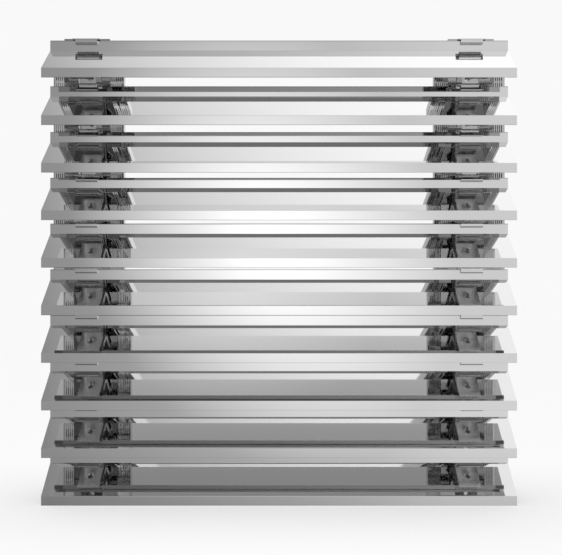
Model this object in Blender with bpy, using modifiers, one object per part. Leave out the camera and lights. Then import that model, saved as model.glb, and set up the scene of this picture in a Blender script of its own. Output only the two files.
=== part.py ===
"""Louvre wall panel: ten extruded aluminium blades clipped on two upright posts.

Every blade is one Z-shaped extrusion. Its leg stands in the claw of a clip, and the hook under
its slope snaps over the nose of the clip's arm. Each clip is screwed to the front of its post.
Lengths are in metres, X runs along the blades, +Y is the back and +Z is up.
"""
import math

import bmesh
import bpy
from mathutils import Matrix, Vector

# Blades
BLADE_COUNT = 10
BLADE_PITCH = 0.050
ROW_GAP = 0.0014
BLADE_LENGTH = 0.500
BLADE_WALL = 0.0015
LIP_HEIGHT = 0.010
SLOPE_DEPTH = 0.038
LEG_HEIGHT = 0.0113
EDGE_RADIUS = 0.0003
INNER_RADIUS = 0.0010

# Hook under each blade
HOOK_SETBACK = 0.0124
HOOK_WALL = 0.0013
HOOK_TIP_WALL = 0.0008
HOOK_TIP_RISE = 0.0010

# Clips
SEAT_GAP = 0.0003
CLIP_END_DISTANCE = 0.040
CLIP_WIDTH = 0.050
CLIP_PLATE_WALL = 0.0030
CLIP_PLATE_BOTTOM = 0.0030
CLIP_PLATE_RISE = 0.0010
CLIP_STANDOFF = 0.0075
CLAW_WIDTH = 0.030
CLAW_WALL = 0.0011
CLAW_NOSE_WIDTH = 0.024
CLAW_NOSE_WALL = 0.0035
CLAW_NOSE_DROP = 0.0044
CLAW_NOSE_INSET = 0.0003
ARM_WIDTH = 0.024
ARM_DEPTH = 0.0158
ARM_WALL = 0.0022
ARM_NOSE_LENGTH = 0.0018
ARM_FLANGE_SETBACK = 0.013
ARM_FLANGE_WALL = 0.0015
ARM_CELL_SETBACK = 0.0010
CHAMBER_WALL = 0.0020
RECESS_WIDTH = 0.0188
RECESS_DROP = 0.0006
DRIVER_HOLE = 0.0060
CLIP_RADIUS = 0.0006

# Screws
SCREW_DIAMETER = 0.0042
SCREW_LENGTH = 0.014
SCREW_TIP_LENGTH = 0.0035
SCREW_HEAD_DIAMETER = 0.0080
SCREW_HEAD_HEIGHT = 0.0024
SCREW_SOCKET = 0.0030
SCREW_SOCKET_DEPTH = 0.0014
SCREW_CLEARANCE = 0.0003

# Posts
POST_WIDTH = 0.078
POST_DEPTH = 0.040
POST_WALL = 0.0020
POST_RETURN = 0.010
TUBE_WIDTH = 0.040
GROOVE_WIDTH = 0.0016
GROOVE_DEPTH = 0.0006
POST_RADIUS = 0.0008

ROUND_STEPS = 3
TURNED_STEPS = 12
WELD_DISTANCE = 1e-6
CUT_MARGIN = 0.002

# The slope rises by what the pitch leaves, and its wall is measured square to it
blade_height = BLADE_PITCH - ROW_GAP
corner_height = blade_height - LEG_HEIGHT
tilt = (corner_height - LIP_HEIGHT) / SLOPE_DEPTH
steep = math.hypot(1, tilt)
leg_back = SLOPE_DEPTH + BLADE_WALL

# The nose of a clip's arm stands between the web and the tip of the blade's hook
web_back = HOOK_SETBACK + HOOK_WALL
arm_front = web_back + SEAT_GAP
arm_heel = arm_front + ARM_NOSE_LENGTH
tip_front = arm_heel + SEAT_GAP

clip_back = leg_back + CLIP_STANDOFF
plate_front = clip_back - CLIP_PLATE_WALL
post_front = clip_back + SEAT_GAP
post_height = BLADE_COUNT * BLADE_PITCH
panel_depth = post_front + POST_DEPTH
panel_front = -panel_depth / 2
clip_offset = BLADE_LENGTH / 2 - CLIP_END_DISTANCE


def new_collection(name):
    collection = bpy.data.collections.new(name)
    bpy.context.scene.collection.children.link(collection)
    return collection


def metal(name, colour, roughness, metallic):
    """A Principled material of one colour."""
    material = bpy.data.materials.new(name)
    material.use_nodes = True
    shader = material.node_tree.nodes["Principled BSDF"]
    shader.inputs["Base Color"].default_value = (*colour, 1)
    shader.inputs["Roughness"].default_value = roughness
    shader.inputs["Metallic"].default_value = metallic
    return material


def rounded(corners):
    """An outline from (x, y, radius) corners, each corner with a radius turned into an arc."""
    points = []
    for i, (x, y, radius) in enumerate(corners):
        here = Vector((x, y))
        if radius == 0:
            points.append(here)
            continue
        before = (Vector(corners[i - 1][:2]) - here).normalized()
        after = (Vector(corners[(i + 1) % len(corners)][:2]) - here).normalized()
        half = before.angle(after) / 2
        middle = here + (before + after).normalized() * (radius / math.sin(half))
        start = here + before * (radius / math.tan(half)) - middle
        sweep = start.angle_signed(here + after * (radius / math.tan(half)) - middle)
        for step in range(ROUND_STEPS + 1):
            turn = -sweep * step / ROUND_STEPS
            points.append(middle + Matrix.Rotation(turn, 2) @ start)
    return points


def extrusion(name, outlines, length, placing):
    """A mesh of the filled outlines, the second and later ones as holes, drawn out to a length."""
    curve = bpy.data.curves.new(name, "CURVE")
    curve.dimensions = "2D"
    curve.fill_mode = "BOTH"
    curve.extrude = length / 2
    for outline in outlines:
        spline = curve.splines.new("POLY")
        spline.points.add(len(outline) - 1)
        for point, place in zip(spline.points, outline):
            point.co = (place[0], place[1], 0, 1)
        spline.use_cyclic_u = True
    guide = bpy.data.objects.new(name, curve)
    bpy.context.scene.collection.objects.link(guide)
    depsgraph = bpy.context.evaluated_depsgraph_get()
    mesh = bpy.data.meshes.new_from_object(guide.evaluated_get(depsgraph))
    bpy.data.objects.remove(guide)
    bpy.data.curves.remove(curve)
    shape = bmesh.new()
    shape.from_mesh(mesh)
    bmesh.ops.remove_doubles(shape, verts=shape.verts, dist=WELD_DISTANCE)
    bmesh.ops.recalc_face_normals(shape, faces=shape.faces)
    shape.to_mesh(mesh)
    shape.free()
    mesh.transform(placing)
    mesh.name = name
    return mesh


# A section drawn in (Y, Z) that runs along X, and one drawn in (X, Y) that runs up from Z = 0
ALONG_X = Matrix(((0, 0, 1, 0), (1, 0, 0, 0), (0, 1, 0, 0), (0, 0, 0, 1)))


def upright(height):
    return Matrix.Translation((0, 0, height / 2))


def box(name, size, centre):
    """A box made from the unit cube."""
    mesh = bpy.data.meshes.new(name)
    shape = bmesh.new()
    bmesh.ops.create_cube(shape, size=1)
    bmesh.ops.scale(shape, vec=size, verts=shape.verts)
    bmesh.ops.translate(shape, vec=centre, verts=shape.verts)
    shape.to_mesh(mesh)
    shape.free()
    return mesh


def rod(name, radius, start, end, sides):
    """A prism with that many sides between two depths on the Y axis."""
    mesh = bpy.data.meshes.new(name)
    shape = bmesh.new()
    bmesh.ops.create_cone(shape, cap_ends=True, segments=sides, radius1=radius, radius2=radius,
                          depth=end - start)
    bmesh.ops.rotate(shape, matrix=Matrix.Rotation(math.pi / 2, 3, "X"), verts=shape.verts)
    bmesh.ops.translate(shape, vec=(0, (start + end) / 2, 0), verts=shape.verts)
    shape.to_mesh(mesh)
    shape.free()
    return mesh


def tool(name, mesh, height=0):
    """An object that only cuts or joins others."""
    thing = bpy.data.objects.new(name, mesh)
    thing.location.z = height
    thing.hide_render = True
    thing.display_type = "WIRE"
    cutters.objects.link(thing)
    return thing


def combine(thing, operation, other):
    boolean = thing.modifiers.new(other.name, "BOOLEAN")
    boolean.operation = operation
    boolean.object = other
    boolean.solver = "EXACT"


def finished(name, thing):
    """The mesh that the modifiers of a thing make, and the thing itself is removed."""
    depsgraph = bpy.context.evaluated_depsgraph_get()
    depsgraph.update()
    mesh = bpy.data.meshes.new_from_object(thing.evaluated_get(depsgraph))
    bpy.data.objects.remove(thing)
    mesh.name = name
    return mesh


def add_part(name, mesh, material, place, parent):
    """One piece of the panel at its place."""
    mesh.materials.clear()
    mesh.materials.append(material)
    part = bpy.data.objects.new(name, mesh)
    part.location = place
    part.parent = parent
    panel.objects.link(part)


def slope_under(depth):
    """Height of the underside of a blade's slope, that far behind its front face."""
    return LIP_HEIGHT + depth * tilt - BLADE_WALL * steep


def arm_top(depth):
    """Height of the top of a clip's arm, which lies along the underside of the slope."""
    return slope_under(depth) - SEAT_GAP * steep


def arm_bottom(depth):
    return arm_top(depth) - ARM_WALL * steep


def arm_underside(depth):
    """Height of the underside of the arm's flange, which runs along the slope below its cell."""
    return arm_top(depth) - ARM_DEPTH


def hook_floor():
    """Height of the floor of the blade's hook, whose tip rises behind the nose of the arm."""
    return arm_bottom(tip_front) - SEAT_GAP - HOOK_TIP_RISE


# The recess for the screw ends just below the arm, and the screw sits in the middle of it
recess_top = arm_underside(leg_back + SEAT_GAP) - RECESS_DROP
screw_height = (CLIP_PLATE_BOTTOM + recess_top) / 2


def blade_mesh():
    """The blade's section, from the bottom of the lip over its front and back along the underside."""
    edge = min(EDGE_RADIUS, BLADE_WALL * 0.45)
    hook_edge = min(EDGE_RADIUS, HOOK_WALL * 0.45)
    tip_back = tip_front + HOOK_TIP_WALL
    tip_top = hook_floor() + HOOK_TIP_RISE
    hook_bottom = hook_floor() - HOOK_WALL
    section = rounded([
        (0, 0, edge),
        (0, LIP_HEIGHT, edge),
        (SLOPE_DEPTH, corner_height, edge),
        (SLOPE_DEPTH, blade_height, edge),
        (leg_back, blade_height, edge),
        (leg_back, slope_under(leg_back), edge),
        (web_back, slope_under(web_back), hook_edge),
        (web_back, hook_floor(), 0),
        (tip_front, hook_floor(), 0),
        (tip_front, tip_top, 0),
        (tip_back, tip_top, 0),
        (tip_back, hook_bottom, hook_edge),
        (HOOK_SETBACK, hook_bottom, hook_edge),
        (HOOK_SETBACK, slope_under(HOOK_SETBACK), hook_edge),
        (BLADE_WALL, slope_under(BLADE_WALL), INNER_RADIUS),
        (BLADE_WALL, 0, edge),
    ])
    return extrusion("blade", [section], BLADE_LENGTH, ALONG_X)


def clip_mesh():
    """A clip: hollow block with a recess for the screw, claw for the leg, and hollow arm.

    The nose of the arm holds the blade's hook, and its flange runs forward under the hook.
    """
    seat = leg_back + SEAT_GAP
    claw_bottom = blade_height + SEAT_GAP
    claw_top = claw_bottom + CLAW_WALL
    block_top = claw_top + CLIP_PLATE_RISE
    chamber_front = seat + CHAMBER_WALL
    chamber_back = clip_back - CHAMBER_WALL
    chamber_bottom = arm_underside(seat) + CHAMBER_WALL
    chamber_top = claw_bottom - CHAMBER_WALL
    body = extrusion("clip", [rounded([
        (clip_back, CLIP_PLATE_BOTTOM, CLIP_RADIUS),
        (clip_back, block_top, CLIP_RADIUS),
        (seat, block_top, CLIP_RADIUS),
        (seat, CLIP_PLATE_BOTTOM, CLIP_RADIUS),
    ]), rounded([
        (chamber_back, chamber_bottom, 0),
        (chamber_back, chamber_top, 0),
        (chamber_front, chamber_top, 0),
        (chamber_front, chamber_bottom, 0),
    ])], CLIP_WIDTH, ALONG_X)

    nose_back = SLOPE_DEPTH - SEAT_GAP
    claw_front = nose_back - CLAW_NOSE_WALL
    nose_front = claw_front + CLAW_NOSE_INSET
    root = (seat + clip_back) / 2
    claw = extrusion("claw_bridge", [rounded([
        (claw_front, claw_bottom, 0),
        (claw_front, claw_top, CLIP_RADIUS),
        (root, claw_top, 0),
        (root, claw_bottom, 0),
    ])], CLAW_WIDTH, ALONG_X)
    nose = extrusion("claw_nose", [rounded([
        (nose_front, blade_height - CLAW_NOSE_DROP, CLIP_RADIUS),
        (nose_front, claw_bottom + CLAW_WALL / 2, 0),
        (nose_back, claw_bottom + CLAW_WALL / 2, 0),
        (nose_back, blade_height - CLAW_NOSE_DROP, CLIP_RADIUS),
    ])], CLAW_NOSE_WIDTH, ALONG_X)

    nose_bottom = hook_floor() + SEAT_GAP
    flange = ARM_FLANGE_WALL * steep
    cell_front = tip_front + HOOK_TIP_WALL + ARM_CELL_SETBACK
    cell_inside = cell_front + ARM_FLANGE_WALL
    cell_back = seat + CHAMBER_WALL / 4
    arm_end = seat + CHAMBER_WALL / 2
    arm = extrusion("arm", [rounded([
        (arm_front, nose_bottom, 0),
        (arm_front, arm_top(arm_front), CLIP_RADIUS),
        (arm_end, arm_top(arm_end), 0),
        (arm_end, arm_underside(arm_end), 0),
        (ARM_FLANGE_SETBACK, arm_underside(ARM_FLANGE_SETBACK), 0),
        (ARM_FLANGE_SETBACK, arm_underside(ARM_FLANGE_SETBACK) + flange, 0),
        (cell_front, arm_underside(cell_front) + flange, 0),
        (cell_front, arm_bottom(cell_front), 0),
        (arm_heel, arm_bottom(arm_heel), 0),
        (arm_heel, nose_bottom, 0),
    ]), rounded([
        (cell_back, arm_bottom(cell_back), 0),
        (cell_back, arm_underside(cell_back) + flange, 0),
        (cell_inside, arm_underside(cell_inside) + flange, 0),
        (cell_inside, arm_bottom(cell_inside), 0),
    ])], ARM_WIDTH, ALONG_X)

    clip = tool("clip", body)
    recess_bottom = CLIP_PLATE_BOTTOM - CUT_MARGIN
    recess_size = (RECESS_WIDTH, plate_front - seat + CUT_MARGIN, recess_top - recess_bottom)
    recess_middle = (0, (seat - CUT_MARGIN + plate_front) / 2, (recess_top + recess_bottom) / 2)
    combine(clip, "DIFFERENCE", tool("recess", box("recess", recess_size, recess_middle)))
    combine(clip, "UNION", tool("claw_bridge", claw))
    combine(clip, "UNION", tool("claw_nose", nose))
    combine(clip, "UNION", tool("arm", arm))
    hole_ends = (cell_front - CUT_MARGIN, (seat + plate_front) / 2)
    hole = rod("driver_hole", DRIVER_HOLE / 2, *hole_ends, TURNED_STEPS)
    combine(clip, "DIFFERENCE", tool("driver_hole", hole, screw_height))
    bore_radius = SCREW_DIAMETER / 2 + SCREW_CLEARANCE
    bore_ends = (plate_front - CUT_MARGIN, clip_back + CUT_MARGIN)
    bore = rod("clip_bore", bore_radius, *bore_ends, TURNED_STEPS)
    combine(clip, "DIFFERENCE", tool("clip_bore", bore, screw_height))
    return finished("clip", clip)


def screw_mesh():
    """A pan-head drilling screw along +Y, its head's underside at Y = 0."""
    shank = SCREW_DIAMETER / 2
    head = SCREW_HEAD_DIAMETER / 2
    profile = [
        (0, SCREW_HEAD_HEIGHT),
        (head * 0.70, SCREW_HEAD_HEIGHT * 0.90),
        (head, SCREW_HEAD_HEIGHT * 0.40),
        (head, 0),
        (shank, 0),
        (shank, SCREW_TIP_LENGTH - SCREW_LENGTH),
        (0, -SCREW_LENGTH),
    ]
    line = bpy.data.meshes.new("screw_profile")
    edges = [(i, i + 1) for i in range(len(profile) - 1)]
    line.from_pydata([(x, 0, z) for x, z in profile], edges, [])
    screw = tool("screw", line)
    turned = screw.modifiers.new("turned", "SCREW")
    turned.steps = turned.render_steps = TURNED_STEPS
    turned.use_merge_vertices = True
    turned.merge_threshold = WELD_DISTANCE
    socket = bpy.data.meshes.new("screw_socket")
    shape = bmesh.new()
    corner = SCREW_SOCKET / math.sqrt(3)
    bmesh.ops.create_cone(shape, cap_ends=True, segments=6, radius1=corner, radius2=corner,
                          depth=2 * SCREW_SOCKET_DEPTH)
    shape.to_mesh(socket)
    shape.free()
    combine(screw, "DIFFERENCE", tool("screw_socket", socket, SCREW_HEAD_HEIGHT))
    mesh = finished("screw", screw)
    mesh.transform(Matrix.Rotation(math.pi / 2, 4, "X"))
    mesh.set_sharp_from_angle(angle=math.radians(40))
    return mesh


def post_mesh():
    """A post: front plate with returned edges, a tube behind it, and a drill hole for each clip."""
    half = POST_WIDTH / 2
    tube = TUBE_WIDTH / 2
    groove = GROOVE_WIDTH / 2
    section = rounded([
        (-half, 0, POST_RADIUS),
        (-groove, 0, 0),
        (0, GROOVE_DEPTH, 0),
        (groove, 0, 0),
        (half, 0, POST_RADIUS),
        (half, POST_RETURN, POST_RADIUS / 2),
        (half - POST_WALL, POST_RETURN, POST_RADIUS / 2),
        (half - POST_WALL, POST_WALL, POST_RADIUS),
        (tube, POST_WALL, POST_RADIUS),
        (tube, POST_DEPTH, POST_RADIUS),
        (-tube, POST_DEPTH, POST_RADIUS),
        (-tube, POST_WALL, POST_RADIUS),
        (POST_WALL - half, POST_WALL, POST_RADIUS),
        (POST_WALL - half, POST_RETURN, POST_RADIUS / 2),
        (-half, POST_RETURN, POST_RADIUS / 2),
    ])
    inside = tube - POST_WALL
    hollow = rounded([
        (-inside, POST_WALL, POST_RADIUS),
        (inside, POST_WALL, POST_RADIUS),
        (inside, POST_DEPTH - POST_WALL, POST_RADIUS),
        (-inside, POST_DEPTH - POST_WALL, POST_RADIUS),
    ])
    post = tool("post", extrusion("post", [section, hollow], post_height, upright(post_height)))
    bore_radius = SCREW_DIAMETER / 2 + SCREW_CLEARANCE
    bore = rod("post_bores", bore_radius, -CUT_MARGIN, POST_WALL + CUT_MARGIN, TURNED_STEPS)
    drill = tool("post_bores", bore, screw_height)
    row = drill.modifiers.new("row", "ARRAY")
    row.count = BLADE_COUNT
    row.use_relative_offset = False
    row.use_constant_offset = True
    row.constant_offset_displace = (0, 0, BLADE_PITCH)
    combine(post, "DIFFERENCE", drill)
    return finished("post", post)


for thing in list(bpy.data.objects):
    bpy.data.objects.remove(thing)
panel = new_collection("louvre_wall_panel")
cutters = new_collection("cutters")
cutters.hide_render = True

blade_finish = metal("bright_anodised", (0.80, 0.80, 0.80), 0.06, 1.0)
clip_finish = metal("mill_aluminium", (0.55, 0.55, 0.55), 0.25, 1.0)
post_finish = metal("satin_anodised", (0.60, 0.60, 0.60), 0.30, 1.0)
screw_finish = metal("stainless", (0.58, 0.57, 0.55), 0.22, 1.0)

frame = bpy.data.objects.new("panel_frame", None)
panel.objects.link(frame)

blade = blade_mesh()
clip = clip_mesh()
screw = screw_mesh()
post = post_mesh()
for side, x in (("left", -clip_offset), ("right", clip_offset)):
    add_part(f"{side}_post", post, post_finish, (x, panel_front + post_front, 0), frame)
head_seat = panel_front + plate_front - SEAT_GAP
for row in range(BLADE_COUNT):
    height = row * BLADE_PITCH
    add_part(f"blade_{row + 1:02}", blade, blade_finish, (0, panel_front, height), frame)
    for side, x in (("left", -clip_offset), ("right", clip_offset)):
        screw_place = (x, head_seat, height + screw_height)
        add_part(f"{side}_clip_{row + 1:02}", clip, clip_finish, (x, panel_front, height), frame)
        add_part(f"{side}_screw_{row + 1:02}", screw, screw_finish, screw_place, frame)
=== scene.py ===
import math

import bpy
import numpy as np
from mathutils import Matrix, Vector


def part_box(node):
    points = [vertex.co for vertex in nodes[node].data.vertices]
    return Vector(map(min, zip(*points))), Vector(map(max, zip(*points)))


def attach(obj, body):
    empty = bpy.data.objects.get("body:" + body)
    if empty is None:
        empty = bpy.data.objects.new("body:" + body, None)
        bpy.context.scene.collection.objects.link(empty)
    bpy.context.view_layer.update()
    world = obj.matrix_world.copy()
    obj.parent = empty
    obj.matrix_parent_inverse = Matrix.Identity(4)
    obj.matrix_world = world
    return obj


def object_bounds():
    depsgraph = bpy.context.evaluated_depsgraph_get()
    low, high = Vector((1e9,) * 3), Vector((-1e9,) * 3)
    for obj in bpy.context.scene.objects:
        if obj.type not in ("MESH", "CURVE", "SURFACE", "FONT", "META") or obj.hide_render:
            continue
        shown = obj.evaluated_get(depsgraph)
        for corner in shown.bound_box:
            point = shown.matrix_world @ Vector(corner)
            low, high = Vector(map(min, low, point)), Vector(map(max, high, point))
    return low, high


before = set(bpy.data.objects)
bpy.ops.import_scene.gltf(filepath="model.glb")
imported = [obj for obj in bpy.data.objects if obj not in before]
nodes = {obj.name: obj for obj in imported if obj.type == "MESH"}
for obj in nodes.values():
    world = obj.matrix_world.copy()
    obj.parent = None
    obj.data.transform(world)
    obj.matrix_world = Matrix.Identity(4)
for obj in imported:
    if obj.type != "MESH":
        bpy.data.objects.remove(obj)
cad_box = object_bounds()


# Blades: ten Z-shaped aluminium extrusions, polished and clear anodised to a mirror that keeps the
# fine lines of the die. The channel between lip and hook is darkened with painted shade, and a
# band along the top edge of each leg is darker along the blade's whole length.

class Socket:
    """A shader socket in an expression: the operators on it add Math nodes to its tree."""

    def __init__(self, tree, end=None):
        self.tree, self.end = tree, end

    def node(self, kind, settings=None, inputs=None, output=0):
        """Adds a node. The settings are set first, and then each input gets a value or a link."""
        made = self.tree.nodes.new("ShaderNode" + kind)
        for name, value in (settings or {}).items():
            if name == "stops":
                stops = made.color_ramp.elements
                while len(stops) < len(value):
                    stops.new(1)
                for stop, (place, level) in zip(stops, value):
                    stop.position, stop.color = place, (level, level, level, 1)
            else:
                setattr(made, name, value)
        for name, value in (inputs or {}).items():
            self.put(made.inputs[name], value)
        return Socket(self.tree, made.outputs[output])

    def put(self, target, value):
        """Links a socket to an input, or sets the input to a plain value."""
        if isinstance(value, Socket):
            self.tree.links.new(value.end, target)
        else:
            target.default_value = value

    def outputs(self, *names):
        """Outputs by name of the node that this socket belongs to."""
        return [Socket(self.tree, self.end.node.outputs[name]) for name in names]

    def maths(self, operation, *values):
        """Adds a Math node."""
        return self.node("Math", {"operation": operation}, dict(enumerate(values)))

    def __add__(self, other):
        return self.maths("ADD", self, other)

    def __radd__(self, other):
        return self.maths("ADD", other, self)

    def __sub__(self, other):
        return self.maths("SUBTRACT", self, other)

    def __rsub__(self, other):
        return self.maths("SUBTRACT", other, self)

    def __mul__(self, other):
        return self.maths("MULTIPLY", self, other)

    def __rmul__(self, other):
        return self.maths("MULTIPLY", other, self)

    def __truediv__(self, other):
        return self.maths("DIVIDE", self, other)

    def __rtruediv__(self, other):
        return self.maths("DIVIDE", other, self)

    def __gt__(self, other):
        return self.maths("GREATER_THAN", self, other)

    def __lt__(self, other):
        return self.maths("LESS_THAN", self, other)


def surface(name, metallic=1.0):
    """A new material, with an empty socket of its tree and its Principled shader."""
    material = bpy.data.materials.new(name)
    material.use_nodes = True
    shader = material.node_tree.nodes["Principled BSDF"]
    shader.inputs["Metallic"].default_value = metallic
    return material, Socket(material.node_tree), shader


def back_and_up(vector):
    """The Y and the Z of a vector: how far it goes to the back and how far up."""
    return vector.node("SeparateXYZ", inputs={"Vector": vector}).outputs("Y", "Z")


def height_in_pitch(z):
    """How high a point lies above the foot of its own blade."""
    return z.maths("FRACT", z / BLADE_PITCH) * BLADE_PITCH


def clouds(place, marks, detail=3.0):
    """Noise from 0 to 1 with this many marks a metre."""
    return place.node("TexNoise", inputs={"Vector": place, "Scale": marks, "Detail": detail})


def die_lines(place, marks):
    """Noise with these many marks a metre along X, Y and Z, for the lines that a die leaves."""
    stretched = place.node("VectorMath", {"operation": "MULTIPLY"}, {0: place, 1: marks})
    return clouds(stretched, 1.0)


def about_zero(noise, width):
    """Noise made to run evenly to both sides of 0, over a width."""
    return (noise - 0.5) * width


def from_to(ends, noise):
    """Noise made to run from the first end to the second."""
    return ends[0] + noise * (ends[1] - ends[0])


def grey(level):
    """The grey colour of a level."""
    return level.node("CombineColor", inputs={"Red": level, "Green": level, "Blue": level})


def dress(word, material):
    """Gives a material to the CAD nodes with this word in their names, and returns the names."""
    names = [name for name in nodes if word in name]
    for name in names:
        nodes[name].data.materials.clear()
        nodes[name].data.materials.append(material)
    return names


# Depths are from the front of the lips, and heights from the foot of a blade. A face looks one
# way when its normal goes at least SQUARE_ON that way.
BLADE_PITCH = 0.050
PANEL_FRONT = cad_box[0].y
LIP_BACK = 0.003
HOOK_BACK = 0.0174
LEG_FRONT = 0.036
LEG_EDGE = 0.0477
SQUARE_ON = 0.9

MIRROR_COLOUR = 0.90
MIRROR_SPREAD = 0.02
MIRROR_ROUGHNESS = (0.02, 0.04)
CHANNEL_SHADE_COLOUR = 0.34
LEG_TOP_DARKENING = 0.42
BLADE_LINES = (1.5, 1400, 1400)
BLADE_CLOUDS = 9.0
CLOUD_DETAIL = 2.0
LINE_STRENGTH = 0.3
LINE_HEIGHT = 0.00002

mirror, tree, shader = surface("mirror_anodised")
place = tree.node("TexCoord", output="Object")
y, z = back_and_up(place)
facing_back, facing_up = back_and_up(tree.node("NewGeometry", output="True Normal"))
depth = y - PANEL_FRONT
# Painted shade: the back of the lip and the underside of the hook, in the channel between them,
# get a dark colour where shade falls.
under_hook_shade = (facing_up < -SQUARE_ON) * (depth > LIP_BACK)
channel_shade = tree.maths("MAXIMUM", facing_back > SQUARE_ON, under_hook_shade) * (depth < HOOK_BACK)
# A band along the top edge of each leg is made darker over the whole length of the blade.
leg_top_band = (height_in_pitch(z) > LEG_EDGE) * (depth > LEG_FRONT)
lines = die_lines(place, BLADE_LINES)
cloud = clouds(place, BLADE_CLOUDS, CLOUD_DETAIL)
level = MIRROR_COLOUR + about_zero(lines, MIRROR_SPREAD) + about_zero(cloud, MIRROR_SPREAD)
level = level + channel_shade * (CHANNEL_SHADE_COLOUR - MIRROR_COLOUR)
level = level * (1 - leg_top_band * LEG_TOP_DARKENING)
tree.put(shader.inputs["Base Color"], grey(level))
tree.put(shader.inputs["Roughness"], from_to(MIRROR_ROUGHNESS, lines))
tree.put(shader.inputs["Normal"], tree.node("Bump", inputs={
    "Strength": LINE_STRENGTH, "Distance": LINE_HEIGHT, "Height": lines}))
dress("blade", mirror)


# Clips: short mill-finish aluminium extrusions, each a hollow block with a claw over the leg of
# its blade and an arm whose nose holds the blade's hook. They are dull underneath and carry
# painted shade there, a painted shadow line along the lower edge of the claw, and a little painted
# shade on the block's front beside it.

CLAW_SHADOW_BAND = (0.044, 0.0455)
CLAW_DEPTH = 0.0365
BLOCK_DEPTH = (0.037, 0.042)
HALF_DOWN = 0.5

MILL_COLOUR = 0.86
MILL_SPREAD = 0.03
MILL_ROUGHNESS = (0.02, 0.03)
SHADE_COLOUR = 0.32
UNDER_ROUGHNESS = 0.3
BLOCK_SHADE = 0.35
CLIP_LINES = (6, 1800, 1800)
CLIP_CLOUDS = 60.0


def towards(level, goal, share):
    """A level moved towards a goal by a share of the way."""
    return level + share * (goal - level)


mill, tree, shader = surface("mill_finish")
place = tree.node("TexCoord", output="Object")
y, z = back_and_up(place)
facing_back, facing_up = back_and_up(tree.node("NewGeometry", output="True Normal"))
depth = y - PANEL_FRONT
height = height_in_pitch(z)
facing_front = facing_back < -SQUARE_ON
# Painted shadow: a dark line on the front of the claw, along its lower edge.
claw_edge_shadow = facing_front * (height > CLAW_SHADOW_BAND[0]) * (height < CLAW_SHADOW_BAND[1]) * (depth < CLAW_DEPTH)
# Painted shade: the front of the block beside the claw is made a little darker, as if in shade.
block_front_shade = facing_front * (depth > BLOCK_DEPTH[0]) * (depth < BLOCK_DEPTH[1])
# Painted shade: the claw's edge line and every face that looks down are moved towards a dark
# colour.
painted_shade = tree.maths("MAXIMUM", claw_edge_shadow, facing_up < -SQUARE_ON)
lines = die_lines(place, CLIP_LINES)
cloud = clouds(place, CLIP_CLOUDS)
level = MILL_COLOUR + about_zero(lines, MILL_SPREAD) + about_zero(cloud, MILL_SPREAD)
level = towards(level, SHADE_COLOUR, painted_shade)
level = level * (1 - block_front_shade * BLOCK_SHADE)
roughness = from_to(MILL_ROUGHNESS, lines) + (facing_up < -HALF_DOWN) * UNDER_ROUGHNESS
tree.put(shader.inputs["Base Color"], grey(level))
tree.put(shader.inputs["Roughness"], roughness)
dress("clip", mill)


# Screws: stainless pan-head drilling screws that hold each clip to its post. Their rolled thread
# runs from below the head to the drilled tip.

SCREW_HEAD = 0.0024
SCREW_TIP = 0.0035
SHANK_RADIUS = 0.0021
THREAD_PITCH = 0.0014
THREAD_HEIGHT = 0.00022
THREAD_FOOT = 0.0009
THREAD_SUNK = 0.00005
THREAD_LEAST = 0.02
THREAD_STEPS = 20

STAINLESS_COLOUR = 0.55
STAINLESS_SPREAD = 0.12
STAINLESS_ROUGHNESS = (0.14, 0.30)
SCREW_CLOUDS = 500.0

stainless, tree, shader = surface("stainless_steel")
cloud = clouds(tree.node("TexCoord", output="Object"), SCREW_CLOUDS)
tree.put(shader.inputs["Base Color"], grey(STAINLESS_COLOUR + about_zero(cloud, STAINLESS_SPREAD)))
tree.put(shader.inputs["Roughness"], from_to(STAINLESS_ROUGHNESS, cloud))


def new_piece(name, points, faces, material):
    """An object at the origin whose mesh has these points, in metres, and these faces."""
    mesh = bpy.data.meshes.new(name)
    mesh.from_pydata(points, [], faces)
    mesh.materials.append(material)
    piece = bpy.data.objects.new(name, mesh)
    bpy.context.scene.collection.objects.link(piece)
    return piece


def thread_ridge(name, low, high):
    """A screw's thread: a three-cornered ridge carried along a helix round the shank's Y axis.

    At the angle t the point (across, r) of the section lies at x = x0 + r cos t,
    y = y0 + THREAD_PITCH t / (2 pi) + across, z = z0 + r sin t. The ridge rises from the shank
    over its first half turn and sinks back over its last. Its foot is sunk in the shank.
    """
    start = low.y + SCREW_HEAD + THREAD_FOOT
    turns = (high.y - SCREW_TIP - start - THREAD_FOOT) / THREAD_PITCH
    t = np.linspace(0, 2 * math.pi * turns, int(turns * THREAD_STEPS))[:, None]
    rise = np.clip(np.minimum(t, t[-1] - t) / math.pi, THREAD_LEAST, 1)
    across = np.array([[-THREAD_FOOT / 2, 0, THREAD_FOOT / 2]]) * rise
    radius = SHANK_RADIUS + THREAD_HEIGHT * rise * np.array([[0, 1, 0]]) - THREAD_SUNK
    points = np.stack([(low.x + high.x) / 2 + radius * np.cos(t),
                       start + THREAD_PITCH * t / (2 * math.pi) + across,
                       (low.z + high.z) / 2 + radius * np.sin(t)], axis=-1).reshape(-1, 3)
    ring = across.shape[1]
    corner = np.arange(ring)
    after = (corner + 1) % ring
    first = ring * np.arange(len(t) - 1)[:, None]
    walls = np.stack([first + corner, first + after, first + after + ring, first + corner + ring],
                     axis=-1)
    last = ring * (len(t) - 1)
    faces = walls.reshape(-1, 4).tolist() + [(2, 1, 0), (last, last + 1, last + 2)]
    return new_piece(name, points.tolist(), faces, stainless)


for name in dress("screw", stainless):
    thread = thread_ridge(name + "_thread", *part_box(name))
    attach(thread, "root")


# Posts: satin anodised extrusions with a finely ribbed front plate, so that the clips don't slip
# while their screws are driven, and a square tube behind it. A smooth band with a groove down the
# middle guides the drill.

RIB_PITCH = 0.0022
RIB_HEIGHT = 0.00022
RIB_ROOT = 0.0003
RIB_MARGIN = 0.0012
GUIDE_HALF = 0.0030

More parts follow.
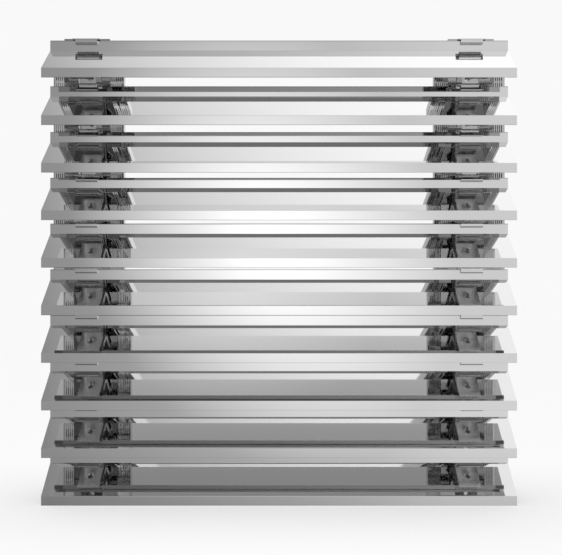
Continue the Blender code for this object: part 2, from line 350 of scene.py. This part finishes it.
SATIN_COLOUR = 0.62
SATIN_SPREAD = 0.04
SATIN_ROUGHNESS = (0.03, 0.05)
POST_LINES = (1500, 1500, 2)

satin, tree, shader = surface("satin_anodised")
lines = die_lines(tree.node("TexCoord", output="Object"), POST_LINES)
tree.put(shader.inputs["Base Color"], grey(SATIN_COLOUR + about_zero(lines, SATIN_SPREAD)))
tree.put(shader.inputs["Roughness"], from_to(SATIN_ROUGHNESS, lines))


def rib_strip(name, left, right, low, high):
    """Ribs on a post's front face from left to right, a closed profile in X and Y along Z.

    Point number k of the ribs lies at x = x0 + k RIB_PITCH / 2, at the face where k is even and
    RIB_HEIGHT in front of it where k is odd. The flat back of the strip lies RIB_ROOT behind the
    face, in the post, and the profile is carried from the post's foot to its top.
    """
    count = int((right - left) / RIB_PITCH)
    start = (left + right - count * RIB_PITCH) / 2
    k = np.arange(2 * count + 1)
    x = start + k * RIB_PITCH / 2
    y = low.y - RIB_HEIGHT * (k % 2)
    x = np.concatenate([x, x[::-1]])
    y = np.concatenate([y, np.full(len(k), low.y + RIB_ROOT)])
    ring = len(x)
    points = np.concatenate([np.column_stack([x, y, np.full(ring, z)]) for z in (low.z, high.z)])
    step = np.arange(ring)
    after = (step + 1) % ring
    walls = np.column_stack([step, after, after + ring, step + ring])
    cell = k[:-1]
    ends = np.column_stack([cell, ring - 1 - cell, ring - 2 - cell, cell + 1])
    faces = np.concatenate([walls, ends, ends[:, ::-1] + ring])
    return new_piece(name, points.tolist(), faces.tolist(), satin)


for name in dress("post", satin):
    low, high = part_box(name)
    middle = (low.x + high.x) / 2
    for side_name, left, right in (("left", low.x + RIB_MARGIN, middle - GUIDE_HALF),
                                   ("right", middle + GUIDE_HALF, high.x - RIB_MARGIN)):
        ribs = rib_strip(name + "_ribs_" + side_name, left, right, low, high)
        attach(ribs, "root")


# Floor: plain pale paper that takes the sample's shadow. A glow that only the camera sees evens
# it out. The metal doesn't mirror the paper, but the part of the dome that lies below it.

FLOOR_HALF = 30.0
BACKDROP = 0.947
PAPER_ROUGHNESS = 0.9
GLOW_SHARE = 0.48

paper, tree, shader = surface("studio_paper", metallic=0.0)
shader.inputs["Base Color"].default_value = (BACKDROP, BACKDROP, BACKDROP, 1)
shader.inputs["Roughness"].default_value = PAPER_ROUGHNESS
shader.inputs["Specular IOR Level"].default_value = 0.0
glow = tree.node("Emission", inputs={"Color": (BACKDROP, BACKDROP, BACKDROP, 1), "Strength": 1.0})
camera_ray = tree.node("LightPath", output="Is Camera Ray")
even = tree.node("MixShader", inputs={
    0: camera_ray * GLOW_SHARE, 1: Socket(tree.tree, shader.outputs["BSDF"]), 2: glow})
tree.put(paper.node_tree.nodes["Material Output"].inputs["Surface"], even)

corners = [(x * FLOOR_HALF, y * FLOOR_HALF, 0) for x, y in ((-1, -1), (1, -1), (1, 1), (-1, 1))]
floor = new_piece("studio_floor", corners, [(0, 1, 2, 3)], paper)
floor.visible_glossy = False


# Dome: the soft light all round that the metal mirrors, dark low down and left of the middle, with
# an oval softbox behind the camera. What a surface scatters comes from a round ceiling instead, at
# the level where a colour shows as it is written.

HALF_TURN = 180
PEAK = 2.0
EVEN_LEVEL = 0.505
TOP_TURN = (57, 84)
TOP_LEVEL = (1.10, 0.845)
TOP_POWER = (1.0, 1.5)
SHADE_START = 0.24
SHADE_POWER = 2.12
SHADE_DEPTH = 2.68
LEFT_SLOPE = -1.5
LEFT_OFFSET = -0.05
SOFTBOX_MIDDLE = (-0.02, 0.042)
SOFTBOX_HALF = (0.204, 0.25)
SOFTBOX_LEAN = 0.2
SOFTBOX_LIGHT = 0.81
ECHO_MIDDLE = (-0.045, 0.0)
ECHO_HALF = (0.16, 0.16)
ECHO_LIGHT = 0.27
FILL_LIGHT = 0.20
FILL_SIDE = (0.02, 0.25)
CEILING_SPREAD = math.radians(20)

world = bpy.data.worlds.new("studio_dome")
bpy.context.scene.world = world
world.use_nodes = True
tree = Socket(world.node_tree)
direction = tree.node("TexCoord", output="Generated")
side, back, up = tree.node("SeparateXYZ", inputs={"Vector": direction}).outputs("X", "Y", "Z")

# The turn runs in degrees: 0 at the back, 90 overhead, 180 behind the camera and -90 below.
turn = tree.maths("ARCTAN2", up, back) * math.degrees(1)


def ramp(value, reach, stops):
    """A ramp over a value from -reach to reach, with its stops at values in that range."""
    places = [(at / (2 * reach) + 0.5, level) for at, level in stops]
    return value.node("ValToRGB", {"stops": places}, {"Fac": value / (2 * reach) + 0.5})


def slope(value, limits, ends=(0.0, 1.0), kind="LINEAR"):
    """The first end up to the lower limit, the second from the upper one, and a slope between."""
    return value.node("MapRange", {"interpolation_type": kind}, {
        "Value": value, "From Min": limits[0], "From Max": limits[1],
        "To Min": ends[0], "To Max": ends[1]})


def soft_light(middle, half, lean=0.0):
    """1 at the middle of a soft light and falling evenly to 0 round its oval edge."""
    off_up = up - middle[1]
    off_side = side - middle[0] + off_up * lean
    across, along = off_side / half[0], off_up / half[1]
    return tree.maths("MAXIMUM", 1 - tree.maths("SQRT", across * across + along * along), 0.0)


# Going round, the dome has its own level at each turn.
levels = [(-180, 1.0), (-170, 1.0), (-166, 0.70), (-150, 0.47), (-130, 0.33), (-90, 0.28),
          (-30, 0.42), (-13, 0.53), (-7, 0.85), (-2, 1.28), (20, 1.55), (57, 1.88), (90, 1.2),
          (97, 0.65), (116, 0.65), (118, 1.3), (123, 1.15), (165, 1.0), (180, 1.0)]
round_about = ramp(turn, HALF_TURN, [(at, level / PEAK) for at, level in levels]) * PEAK

# From side to side it is darkest left of the middle, but less so where it is evened out.
evenness = ramp(turn, HALF_TURN, [
    (-180, 0.0), (-112, 0.0), (-80, 1.0), (-8, 1.0), (-1.3, 0.7), (1.5, 0.3), (4.5, 0.1),
    (20, 0.15), (85, 0.15), (123, 0.0), (180, 0.0)])
slant = ramp(side, 1, [
    (-1.0, 0.62), (-0.55, 0.58), (-0.32, 0.31), (-0.24, 0.30), (0.18, 0.655), (1.0, 0.72)])
slant = towards(slant, EVEN_LEVEL, evenness)

# Overhead it falls off to the left in a curve of its own, and rises again at the far left.
shade = tree.maths("POWER", tree.maths("MAXIMUM", SHADE_START - side, 0.0), SHADE_POWER)
rise = tree.maths("MAXIMUM", 1 - shade * SHADE_DEPTH, side * LEFT_SLOPE + LEFT_OFFSET)
rise = tree.maths("POWER", rise, slope(turn, TOP_TURN, TOP_POWER))
overhead = slope(turn, TOP_TURN, TOP_LEVEL) * rise
from_above = ramp(turn, HALF_TURN, [(25, 0.0), (50, 1.0), (88, 1.0), (96, 0.0)])

# The softbox has a weak echo at the back, and a fill brightens the dome low on the right.
in_front = back < 0
softbox = in_front * soft_light(SOFTBOX_MIDDLE, SOFTBOX_HALF, SOFTBOX_LEAN) * SOFTBOX_LIGHT
echo = (1 - in_front) * soft_light(ECHO_MIDDLE, ECHO_HALF) * ECHO_LIGHT
low_down = ramp(turn, HALF_TURN, [(-178, 0.0), (-150, 1.0), (-95, 1.0), (-80, 0.0)])
fill = low_down * slope(side, FILL_SIDE, kind="SMOOTHSTEP") * FILL_LIGHT
dome = towards(round_about * slant + softbox + echo + fill, overhead, from_above)

ceiling = (up > math.cos(CEILING_SPREAD)) * (1 / math.sin(CEILING_SPREAD) ** 2)
camera_ray, glossy_ray = tree.node("LightPath").outputs("Is Camera Ray", "Is Glossy Ray")
level = towards(towards(ceiling, dome, glossy_ray), BACKDROP, camera_ray)
tree.put(world.node_tree.nodes["Background"].inputs["Color"], grey(level))


# Camera: level and square to the panel, a little under a metre in front of it. A pixel of the
# picture covers PIXEL in the plane of the blades' lips.

CAMERA_SIDE = 0.00207
CAMERA_HEIGHT = 0.23967
CAMERA_DISTANCE = 0.950
PIXEL = 0.0010504
PHOTO_WIDTH = 562
SENSOR_WIDTH = 36
MIRROR_BOUNCES = 12

camera_data = bpy.data.cameras.new("photo_camera")
camera = bpy.data.objects.new("photo_camera", camera_data)
bpy.context.scene.collection.objects.link(camera)
camera.location = (CAMERA_SIDE, PANEL_FRONT - CAMERA_DISTANCE, CAMERA_HEIGHT)
camera.rotation_euler = (math.pi / 2, 0, 0)
camera_data.sensor_width = SENSOR_WIDTH
camera_data.lens = SENSOR_WIDTH * CAMERA_DISTANCE / (PHOTO_WIDTH * PIXEL)
bpy.context.scene.camera = camera
bpy.context.scene.view_settings.view_transform = "Standard"
bpy.context.scene.cycles.glossy_bounces = MIRROR_BOUNCES
